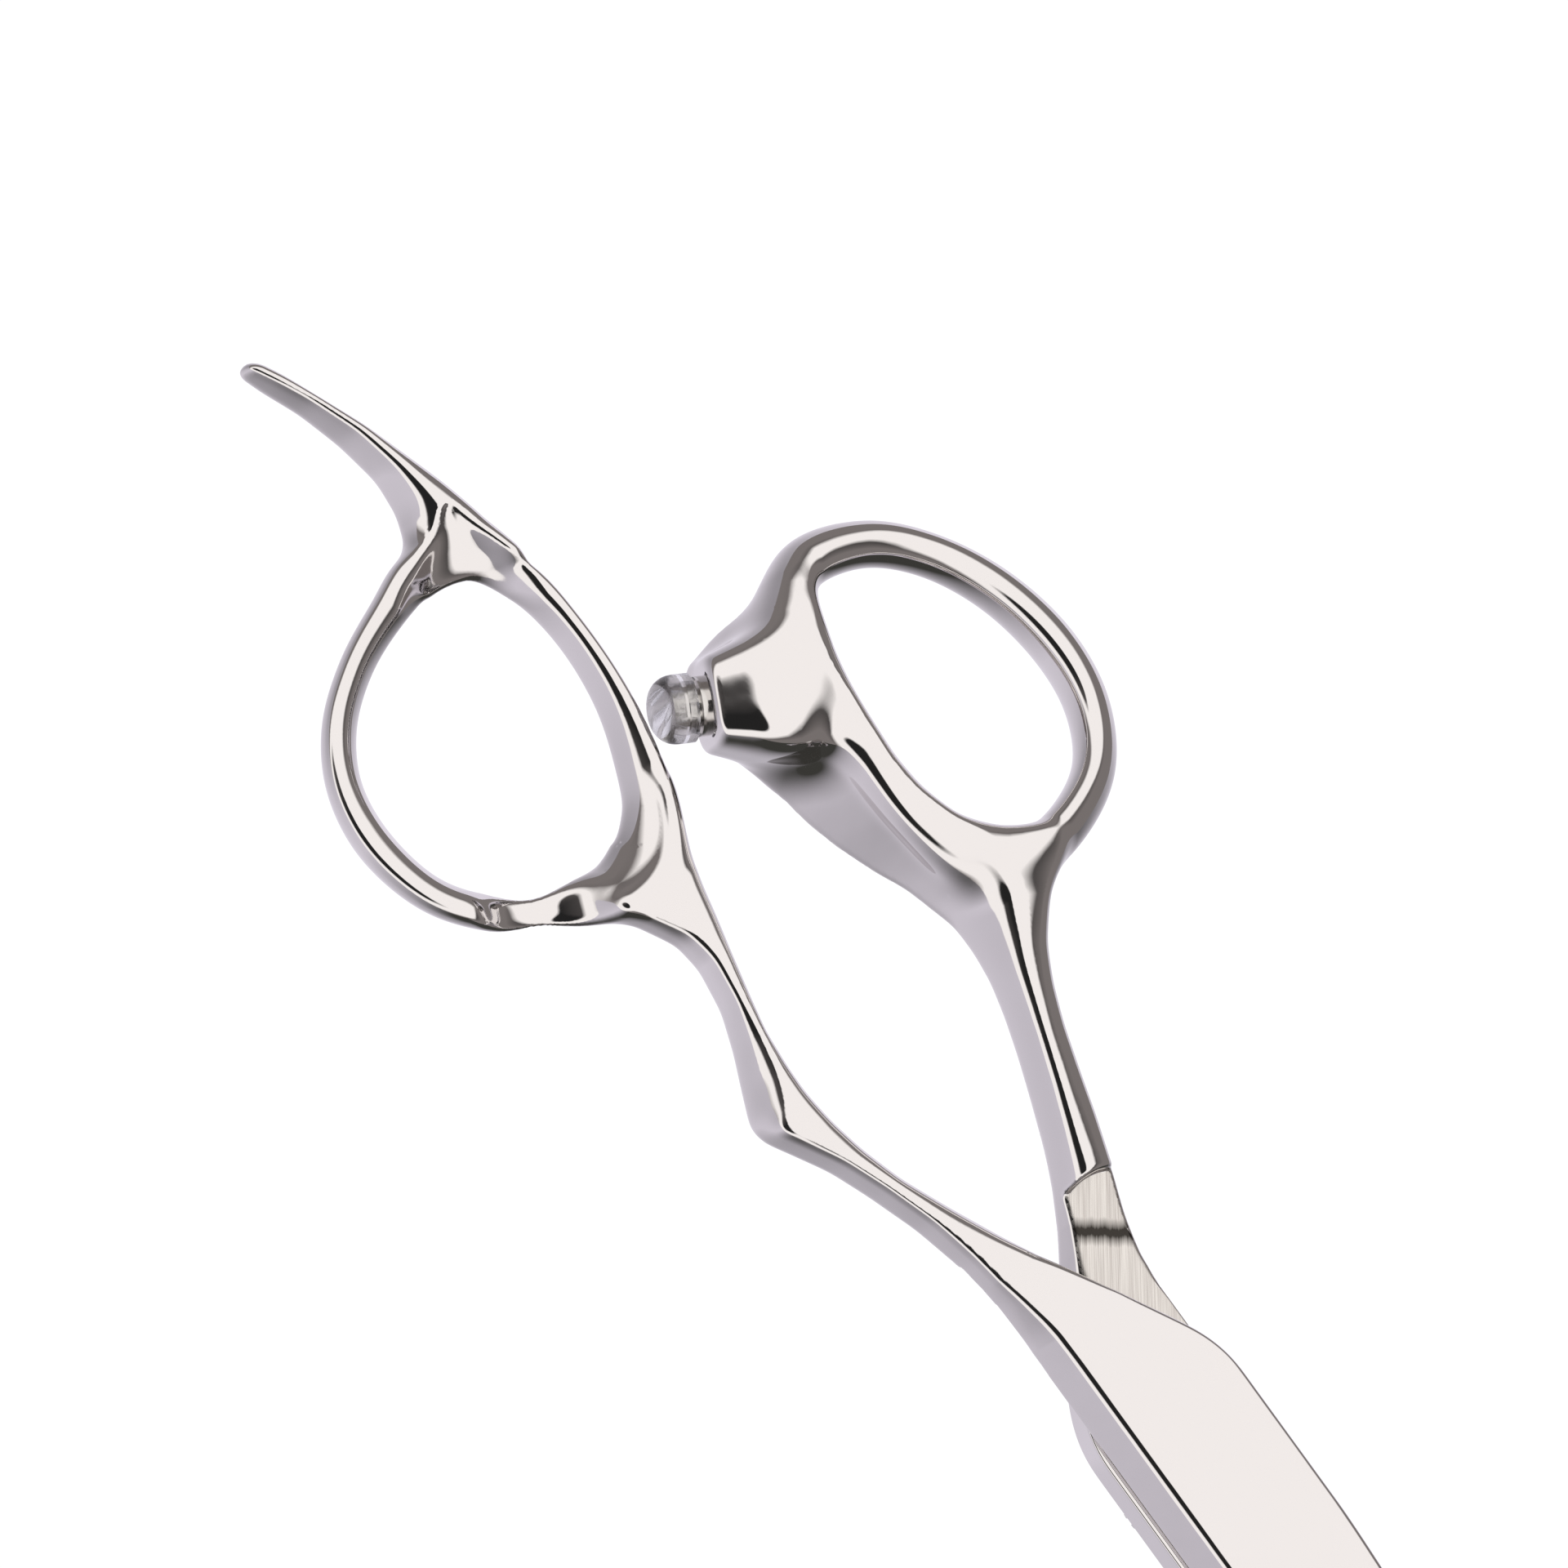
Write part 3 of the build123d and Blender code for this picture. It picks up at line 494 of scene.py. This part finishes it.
def surface_net(field, low, high):
    """Vertices and quads of the field's zero surface, one vertex per cell that it crosses."""
    low = np.array(low, float)
    counts = np.ceil((np.array(high) - low) / CELL).astype(int) + 1
    f = sampled(field, low, counts)
    inside = f < 0
    cells = counts - 1
    total = np.zeros(tuple(cells) + (3,), np.float32)
    crossings = np.zeros(tuple(cells), np.int8)
    for axis in range(3):
        others = [k for k in range(3) if k != axis]
        for shift in ((0, 0), (0, 1), (1, 0), (1, 1)):
            start = [0, 0, 0]
            start[others[0]], start[others[1]] = shift
            end = list(start)
            end[axis] = 1
            a = tuple(slice(start[k], start[k] + cells[k]) for k in range(3))
            b = tuple(slice(end[k], end[k] + cells[k]) for k in range(3))
            cut = inside[a] != inside[b]
            where = np.nonzero(cut)
            fa, fb = f[a][where], f[b][where]
            point = np.tile(np.array(start, np.float32), (len(fa), 1))
            point[:, axis] = fa / (fa - fb)
            total[where] += point
            crossings[where] += 1
    used = np.nonzero(crossings)
    number = np.full(tuple(cells), -1, int)
    number[used] = np.arange(len(used[0]))
    verts = low + (np.stack(used, 1) + total[used] / crossings[used][:, None]) * CELL
    quads = []
    for axis in range(3):
        o1, o2 = (axis + 1) % 3, (axis + 2) % 3
        inner = [slice(0, cells[k]) for k in range(3)]
        inner[o1], inner[o2] = slice(1, cells[o1]), slice(1, cells[o2])
        ahead = list(inner)
        ahead[axis] = slice(1, cells[axis] + 1)
        a, b = inside[tuple(inner)], inside[tuple(ahead)]
        index = np.stack(np.nonzero(a != b), 1)
        leaving = a[tuple(index.T)]
        index[:, o1] += 1
        index[:, o2] += 1
        corner = []
        for d1, d2 in ((1, 1), (0, 1), (0, 0), (1, 0)):
            at = index.copy()
            at[:, o1] -= d1
            at[:, o2] -= d2
            corner.append(number[tuple(at.T)])
        quad = np.stack(corner, 1)
        quad[~leaving] = quad[~leaving][:, ::-1]
        quads.append(quad)
    return verts, np.concatenate(quads)


def slope(field, p, h=0.01):
    """The field's gradient at points p."""
    grad = np.empty_like(p)
    for axis in range(3):
        step = np.zeros(3)
        step[axis] = h
        grad[:, axis] = (field(*(p + step).T) - field(*(p - step).T)) / (2 * h)
    return grad


def settled(field, p, rounds=3):
    """Points p moved on to the zero surface."""
    for _ in range(rounds):
        grad = slope(field, p)
        move = field(*p.T)[:, None] * grad / np.maximum(np.sum(grad * grad, 1), 0.1)[:, None]
        length = np.linalg.norm(move, axis=1)[:, None]
        p = p - move * np.minimum(1, 0.5 * CELL / np.maximum(length, 1e-9))
    return p


def blade_surface(field, side):
    """Blade from the weld to the tip: sections moved on to the field, joined into one skin."""
    fine_start, fine_end = [0, 0.004, 0.012, 0.03, 0.06], [0.94, 0.97, 0.988, 0.996]
    runs = np.concatenate([fine_start, np.linspace(0.1, 0.9, 12), fine_end])
    xs = np.concatenate([np.arange(WELD_X, -3, 0.35), np.arange(-3, 60, 0.7), np.linspace(60, TIP_X, 14)])
    rings = []
    for x in xs:
        spine, cutting, bevel, thick = blade_law(x)
        corners = np.array([(-cutting, 0), (spine, 0), (spine, thick - SPINE_BREAK),
                            (spine - SPINE_BREAK, thick), (bevel - cutting, thick), (-cutting, EDGE_LAND)])
        ahead = np.roll(corners, -1, 0)
        section = np.concatenate([a + (b - a) * runs[:, None] for a, b in zip(corners, ahead)])
        section = -side * section + (0, SHEAR)
        rings.append(np.column_stack([np.full(len(section), x), section]))
    count = len(rings[0])
    verts = np.concatenate(rings)
    for _ in range(6):
        grad = slope(field, verts)
        grad[:, 0] = 0     # each point stays in its section
        value = np.clip(field(*verts.T), -0.1, 0.1)[:, None]
        verts = verts - value * grad / np.maximum(np.sum(grad * grad, 1), 0.1)[:, None]
    faces = []
    for ring in range(len(xs) - 1):
        for k in range(count):
            a, b = ring * count + k, ring * count + (k + 1) % count
            faces.append((a, b, b + count, a + count))
    faces.append(tuple(range(count))[::-1])
    faces.append(tuple(range((len(xs) - 1) * count, len(xs) * count)))
    return verts, faces


def object_from(name, verts, faces):
    mesh = bpy.data.meshes.new(name)
    mesh.from_pydata((np.asarray(verts) * MM).tolist(), [], [[int(k) for k in f] for f in faces])
    mesh.update()
    obj = bpy.data.objects.new(name, mesh)
    bpy.context.scene.collection.objects.link(obj)
    return obj


def cut_off(obj, point, normal):
    """Cuts the mesh at a plane, takes away the side that normal points to and closes the cut."""
    work = bmesh.new()
    work.from_mesh(obj.data)
    everything = work.verts[:] + work.edges[:] + work.faces[:]
    bmesh.ops.bisect_plane(work, geom=everything, plane_co=point, plane_no=normal, clear_outer=True)
    bmesh.ops.holes_fill(work, edges=[e for e in work.edges if e.is_boundary])
    work.to_mesh(obj.data)
    work.free()


FOLLOW = 0.55              # cosine of the widest angle between a face and the field's normal on it


def polish(obj, field):
    """Shading normals from the field, apart from faces that were cut afterwards."""
    mesh = obj.data
    mesh.shade_smooth()
    points = np.empty(len(mesh.vertices) * 3)
    mesh.vertices.foreach_get("co", points)
    grad = slope(field, points.reshape(-1, 3) / MM)
    grad /= np.linalg.norm(grad, axis=1)[:, None] + 1e-12
    flat = np.empty(len(mesh.polygons) * 3)
    mesh.polygons.foreach_get("normal", flat)
    sizes = np.empty(len(mesh.polygons), int)
    mesh.polygons.foreach_get("loop_total", sizes)
    corner = np.empty(len(mesh.loops), int)
    mesh.loops.foreach_get("vertex_index", corner)
    of_face = np.repeat(flat.reshape(-1, 3), sizes, axis=0)
    of_field = grad[corner]
    follow = np.sum(of_face * of_field, 1) > FOLLOW
    mesh.normals_split_custom_set(np.where(follow[:, None], of_field, of_face).tolist())


def rod(low, high, radius, segments=72):
    """Upright rod round the pivot axis, for a bore."""
    axis = Vector((0, 0, 1))
    across = axis.orthogonal().normalized()
    third = axis.cross(across)
    verts = []
    for height in (low, high):
        for angle in np.arange(segments) * 2 * math.pi / segments:
            verts.append(axis * height + radius * (math.cos(angle) * across + math.sin(angle) * third))
    faces = [(k, (k + 1) % segments, segments + (k + 1) % segments, segments + k) for k in range(segments)]
    faces += [tuple(range(segments))[::-1], tuple(range(segments, 2 * segments))]
    return object_from("cutter", verts, faces)


GROUND_EDGE = -4.6         # on the blades' -Y side the inner face is polished beyond this


def ground_faces(obj, material):
    """The inner face at the shear plane is ground, not polished."""
    obj.data.materials.append(material)
    centres = np.empty(len(obj.data.polygons) * 3)
    obj.data.polygons.foreach_get("center", centres)
    along, across, height = centres[::3] / MM, centres[1::3] / MM, centres[2::3] / MM - SHEAR
    normals = np.empty(len(obj.data.polygons) * 3)
    obj.data.polygons.foreach_get("normal", normals)
    chosen = (np.abs(height) < HOLLOW_DEPTH + 0.02) & (np.abs(normals[2::3]) > 0.9)
    chosen &= (along > STEP[0] - STEP[2] - 0.5) & (across > GROUND_EDGE)
    obj.data.polygons.foreach_set("material_index", chosen.astype(np.int32))


def finished(obj, body, slot, *nodes):
    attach(obj, body)
    if nodes:
        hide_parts(*nodes)


# ---- materials -------------------------------------------------------------------------------
def node(tree, kind, **settings):
    made = tree.nodes.new(kind)
    for key, value in settings.items():
        setattr(made, key, value)
    return made


def new_material(name, color, metallic, rough):
    material = bpy.data.materials.new(name)
    material.use_nodes = True
    tree = material.node_tree
    shader = tree.nodes["Principled BSDF"]
    shader.inputs["Base Color"].default_value = (*color, 1)
    shader.inputs["Metallic"].default_value = metallic
    shader.inputs["Roughness"].default_value = rough
    return material, tree, shader


def place(tree, stretch, turn=0.0):
    """Object coordinates in millimetres, turned about Z and then stretched."""
    coords = node(tree, "ShaderNodeTexCoord")
    turned_by = node(tree, "ShaderNodeMapping")
    turned_by.inputs["Rotation"].default_value = (0, 0, turn)
    turned_by.inputs["Scale"].default_value = (1 / MM, 1 / MM, 1 / MM)
    tree.links.new(coords.outputs["Object"], turned_by.inputs["Vector"])
    scaled = node(tree, "ShaderNodeMapping")
    scaled.inputs["Scale"].default_value = stretch
    tree.links.new(turned_by.outputs["Vector"], scaled.inputs["Vector"])
    return scaled.outputs["Vector"]


def noise(tree, vector, scale, detail=3.0):
    made = node(tree, "ShaderNodeTexNoise")
    made.inputs["Scale"].default_value = scale
    made.inputs["Detail"].default_value = detail
    tree.links.new(vector, made.inputs["Vector"])
    return made.outputs["Fac"]


def ranged(tree, value, low, high, from_low=0.3, from_high=0.7):
    made = node(tree, "ShaderNodeMapRange")
    for key, number in (("From Min", from_low), ("From Max", from_high), ("To Min", low), ("To Max", high)):
        made.inputs[key].default_value = number
    tree.links.new(value, made.inputs["Value"])
    return made.outputs["Result"]


def math_node(tree, operation, a, b=None, c=None):
    made = node(tree, "ShaderNodeMath", operation=operation)
    for k, value in enumerate((a, b, c)):
        if isinstance(value, (int, float)):
            made.inputs[k].default_value = value
        elif value is not None:
            tree.links.new(value, made.inputs[k])
    return made.outputs[0]


def tinted(tree, amount, dark, bright):
    made = node(tree, "ShaderNodeMix", data_type="RGBA")
    for socket, color in ((made.inputs["A"], dark), (made.inputs["B"], bright)):
        if hasattr(color, "is_output"):
            tree.links.new(color, socket)
        else:
            socket.default_value = (*color, 1)
    tree.links.new(amount, made.inputs["Factor"])
    return made.outputs["Result"]


def bumped(tree, shader, height, strength, distance):
    made = node(tree, "ShaderNodeBump")
    made.inputs["Strength"].default_value = strength
    made.inputs["Distance"].default_value = distance
    tree.links.new(height, made.inputs["Height"])
    tree.links.new(made.outputs["Normal"], shader.inputs["Normal"])


def mirror_steel():
    """Hand-polished forging: nearly a mirror, with a slight waviness and faint buffing marks."""
    material, tree, shader = new_material("mirror_steel", (0.80, 0.775, 0.77), 1.0, 0.05)
    wavy = place(tree, (1, 1, 1))
    tree.links.new(ranged(tree, noise(tree, wavy, 0.35, 4), 0.03, 0.085), shader.inputs["Roughness"])
    bumped(tree, shader, noise(tree, wavy, 0.22, 2), 0.12, 0.00025)
    return material


def brushed_steel(name, turn, painted_reflection_at):
    """Ground face with fine parallel streaks and a painted reflection: a near-black band across them in the
    base colour.
    """
    material, tree, shader = new_material(name, (0.7, 0.68, 0.66), 1.0, 0.26)
    across = place(tree, (0.06, 3.5, 1.0), turn)
    streaks = noise(tree, across, 1.0, 6)
    fine = noise(tree, place(tree, (0.2, 14.0, 1.0), turn), 1.0, 2)
    half_streaks = math_node(tree, "MULTIPLY", streaks, 0.5)
    tone = ranged(tree, math_node(tree, "MULTIPLY_ADD", fine, 0.5, half_streaks), 0.0, 1.0, 0.35, 0.65)
    color = tinted(tree, tone, (0.50, 0.465, 0.44), (0.86, 0.83, 0.79))
    # painted reflection: the base colour goes near black in a band across the streaks, at the given distance
    # along them
    parts = node(tree, "ShaderNodeSeparateXYZ")
    tree.links.new(place(tree, (1, 1, 1), turn), parts.inputs[0])
    place_along = math_node(tree, "MULTIPLY_ADD", streaks, 0.9, parts.outputs["X"])
    off = math_node(tree, "ABSOLUTE", math_node(tree, "SUBTRACT", place_along, painted_reflection_at))
    painted_reflection = ranged(tree, off, 0.0, 1.0, 0.25, 1.1)
    tree.links.new(tinted(tree, painted_reflection, (0.05, 0.045, 0.04), color), shader.inputs["Base Color"])
    tree.links.new(ranged(tree, streaks, 0.2, 0.34), shader.inputs["Roughness"])
    return material


PAINTED_REFLECTION_AT = -17.6        # where the painted dark reflection band crosses the streaks, in mm along them
MIRROR = mirror_steel()
GROUND = brushed_steel("ground_steel_painted_reflection", math.radians(36.5), PAINTED_REFLECTION_AT)


def turned_steel(name, color, rough):
    """Small turned or pressed parts: satin metal with a fine grain in the finish."""
    material, tree, shader = new_material(name, color, 1.0, rough)
    grain = noise(tree, place(tree, (3, 3, 3)), 1.0, 5)
    tree.links.new(ranged(tree, grain, rough * 0.7, rough * 1.4), shader.inputs["Roughness"])
    bumped(tree, shader, grain, 0.1, 0.00003)
    return material


def moulded(name, color, rough, transmission=0.0, ior=1.5):
    material, tree, shader = new_material(name, color, 0.0, rough)
    shader.inputs["Transmission Weight"].default_value = transmission
    shader.inputs["IOR"].default_value = ior
    mottle = noise(tree, place(tree, (1.2, 1.2, 1.2)), 1.0, 4)
    tree.links.new(ranged(tree, mottle, rough * 0.8, rough * 1.3), shader.inputs["Roughness"])
    if not transmission:
        bumped(tree, shader, mottle, 0.1, 0.00003)
    return material


TURNED = turned_steel("turned_steel", (0.72, 0.70, 0.68), 0.16)
SPRING = turned_steel("spring_steel", (0.55, 0.54, 0.55), 0.24)
BRONZE = turned_steel("bushing_bronze", (0.66, 0.43, 0.20), 0.28)
NYLON = moulded("nylon", (0.82, 0.81, 0.76), 0.42)
CLEAR = moulded("clear_bumper", (0.97, 0.97, 0.98), 0.04, 1.0, 1.47)

for material, members in (
    (TURNED, ("pivot_stud", "lock_screw", "tension_dial", "dial_cap", "bumper_screw")),
    (SPRING, ("spring_washer_inner", "spring_washer_outer", "click_plate", "detent_balls")),
    (BRONZE, ("pivot_bushing",)),
    (NYLON, ("nylon_washer", "blade_washer")),
    (CLEAR, ("bumper_cap",)),
    (MIRROR, ("finger_handle", "finger_blade", "thumb_handle", "thumb_blade")),
):
    for member in members:
        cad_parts[member].data.materials.clear()
        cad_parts[member].data.materials.append(material)


# ---- the two halves --------------------------------------------------------------------------
def handle(name, field, low, high, body, *nodes):
    obj = object_from(name, *surface(field, low, high))
    cut_off(obj, (WELD_X * MM, 0, 0), (1, 0, 0))
    polish(obj, field)
    obj.data.materials.append(MIRROR)
    ground_faces(obj, GROUND)
    finished(obj, body, "handle_steel", *nodes)
    return obj


def surface(field, low, high):
    verts, quads = surface_net(field, low, high)
    return settled(field, verts), quads.tolist()


def bored(obj, cutters):
    """Takes the cutters out of the piece."""
    for cutter in cutters:
        change = obj.modifiers.new("bore", "BOOLEAN")
        change.operation = "DIFFERENCE"
        change.solver = "EXACT"
        change.object = cutter
    made = bpy.data.meshes.new_from_object(obj.evaluated_get(bpy.context.evaluated_depsgraph_get()))
    obj.modifiers.clear()
    obj.data = made
    for cutter in cutters:
        bpy.data.objects.remove(cutter)


def blade(name, field, side, bores, body, *nodes):
    obj = object_from(name, *blade_surface(field, side))
    bored(obj, [rod(*bore) for bore in bores])
    polish(obj, field)
    obj.data.materials.append(MIRROR)
    ground_faces(obj, GROUND)
    finished(obj, body, "blade_steel", *nodes)
    return obj


finger_handle = handle("finger_handle_polished", finger_half, (-111.5, -26.5, 2.6), (-12.0, 5.5, 8.6),
                       "finger_half", "finger_handle")
finger_handle.visible_glossy = False      # so the bar's broad facet mirrors only the table
handle("thumb_handle_polished", thumb_half, (-77.5, -7.5, -1.5), (-12.0, 34.5, 11.6),
       "thumb_half", "thumb_handle")
# Bores round the pivot axis: from height, to height, radius.  The stud's hole is blind.  The thumb blade
# has the washers' pocket, the bushing's hole and the blade washer's recess.
STUD_BORE = (SHEAR - 0.5, SHEAR + 2.0, 2.0)
THUMB_BORES = ((1.9, 3.2, 5.1), (3.0, 5.0, 3.3), (4.9, 5.4, 4.8))
blade("finger_blade_polished", finger_half, -1, [STUD_BORE], "finger_half", "finger_blade")
blade("thumb_blade_polished", thumb_half, 1, THUMB_BORES, "thumb_half", "thumb_blade")

# ---- studio ----------------------------------------------------------------------------------
VIEW_TILT = math.radians(19.0)
FLOOR_HALF = 3000.0        # half the sheet's side
FLOOR_DROP = 0.6           # the sheet lies this far below the shears' rest face


def studio_floor():
    """Pale sheet that shines, white to the camera.  Metal looks past it, at the table of the studio."""
    corners = [(FLOOR_HALF * x, FLOOR_HALF * y, 0) for x, y in ((-1, -1), (1, -1), (1, 1), (-1, 1))]
    floor = object_from("floor", corners, [(0, 1, 2, 3)])
    floor.location = (0, 0, -FLOOR_DROP * MM)
    floor.visible_glossy = False
    material = bpy.data.materials.new("pale_floor")
    material.use_nodes = True
    tree = material.node_tree
    tree.nodes.clear()
    out = node(tree, "ShaderNodeOutputMaterial")
    seen, mirrored = node(tree, "ShaderNodeEmission"), node(tree, "ShaderNodeEmission")
    seen.inputs["Color"].default_value = (1, 1, 1, 1)
    seen.inputs["Strength"].default_value = 1.05
    mirrored.inputs["Color"].default_value = (0.86, 0.83, 0.92, 1)
    mirrored.inputs["Strength"].default_value = 0.95
    path, mix = node(tree, "ShaderNodeLightPath"), node(tree, "ShaderNodeMixShader")
    tree.links.new(path.outputs["Is Camera Ray"], mix.inputs[0])
    tree.links.new(mirrored.outputs[0], mix.inputs[1])
    tree.links.new(seen.outputs[0], mix.inputs[2])
    tree.links.new(mix.outputs[0], out.inputs["Surface"])
    floor.data.materials.append(material)


def studio_sky():
    """Softboxes round the shears, a dark camera stand, dark walls at the sides and a pale table below."""
    world = bpy.data.worlds.new("studio")
    bpy.context.scene.world = world
    world.use_nodes = True
    tree = world.node_tree
    back = tree.nodes["Background"]
    coords = node(tree, "ShaderNodeTexCoord")
    parts = node(tree, "ShaderNodeSeparateXYZ")
    tree.links.new(coords.outputs["Generated"], parts.inputs[0])
    x, y, z = (parts.outputs[k] for k in "XYZ")
    side = math_node(tree, "ABSOLUTE", x)

    stand_x = math_node(tree, "MULTIPLY_ADD", x, 2.1, 0.15)
    stand_y = math_node(tree, "MULTIPLY_ADD", y, 3.4, 1.56)
    stand = math_node(tree, "MULTIPLY_ADD", stand_x, stand_x, math_node(tree, "MULTIPLY", stand_y, stand_y))
    away = ranged(tree, stand, 0.0, 1.0, 0.75, 1.15)
    above = math_node(tree, "MULTIPLY_ADD", side, -0.45, math_node(tree, "MULTIPLY_ADD", y, -0.15, z))
    only_x, only_y = math_node(tree, "MAXIMUM", x, 0.0), math_node(tree, "MAXIMUM", y, 0.0)
    corner = math_node(tree, "MULTIPLY", only_x, only_y)
    above = math_node(tree, "MULTIPLY_ADD", corner, -0.6, above)
    lit = math_node(tree, "MULTIPLY", away, ranged(tree, above, 0.0, 1.0, 0.1, 0.3))
    behind, low = ranged(tree, x, 1.0, 0.0, -0.95, -0.2), ranged(tree, z, 1.0, 0.0, 0.3, 0.75)
    wall = tinted(tree, math_node(tree, "MAXIMUM", behind, low), (0.02, 0.02, 0.02), (0.22, 0.2, 0.195))
    sky = tinted(tree, lit, wall, (1.10, 1.07, 1.05))

    near = math_node(tree, "MULTIPLY_ADD", math_node(tree, "MULTIPLY", x, x), -0.5,
                     math_node(tree, "MULTIPLY_ADD", y, 0.1, 0.85))
    near = math_node(tree, "MULTIPLY_ADD", only_x, -0.75, near)
    table = tinted(tree, near, (0.05, 0.05, 0.045), (0.92, 0.88, 0.98))
    horizon = math_node(tree, "MULTIPLY_ADD", y, 0.4, z)
    seen = tinted(tree, ranged(tree, horizon, 0.0, 1.0, -0.01, 0.01), table, sky)
    tree.links.new(seen, back.inputs["Color"])


studio_floor()
studio_sky()

# ---- camera ----------------------------------------------------------------------------------
VIEW_TURN = 0.588          # share of the image's right side that lies along +X
VIEW_TARGET = Vector((-60.59, 5.03, 5.36))
VIEW_DISTANCE = 560.0
VIEW_LENS = 170.1

towards = Vector((0, -math.sin(VIEW_TILT), math.cos(VIEW_TILT)))
side_x = Vector((1, 0, 0))
side_y = towards.cross(side_x)
rise = math.sqrt(1 - VIEW_TURN**2)
right = VIEW_TURN * side_x + rise * side_y
up = towards.cross(right)
camera = bpy.data.objects.new("camera", bpy.data.cameras.new("camera"))
bpy.context.scene.collection.objects.link(camera)
stand_point = Matrix.Translation((VIEW_TARGET + VIEW_DISTANCE * towards) * MM)
camera.matrix_world = stand_point @ Matrix((right, up, towards)).transposed().to_4x4()
camera.data.lens = VIEW_LENS
camera.data.sensor_width = 36.0
camera.data.clip_start, camera.data.clip_end = 0.01, 20.0
bpy.context.scene.camera = camera
bpy.context.scene.view_settings.view_transform = "Standard"
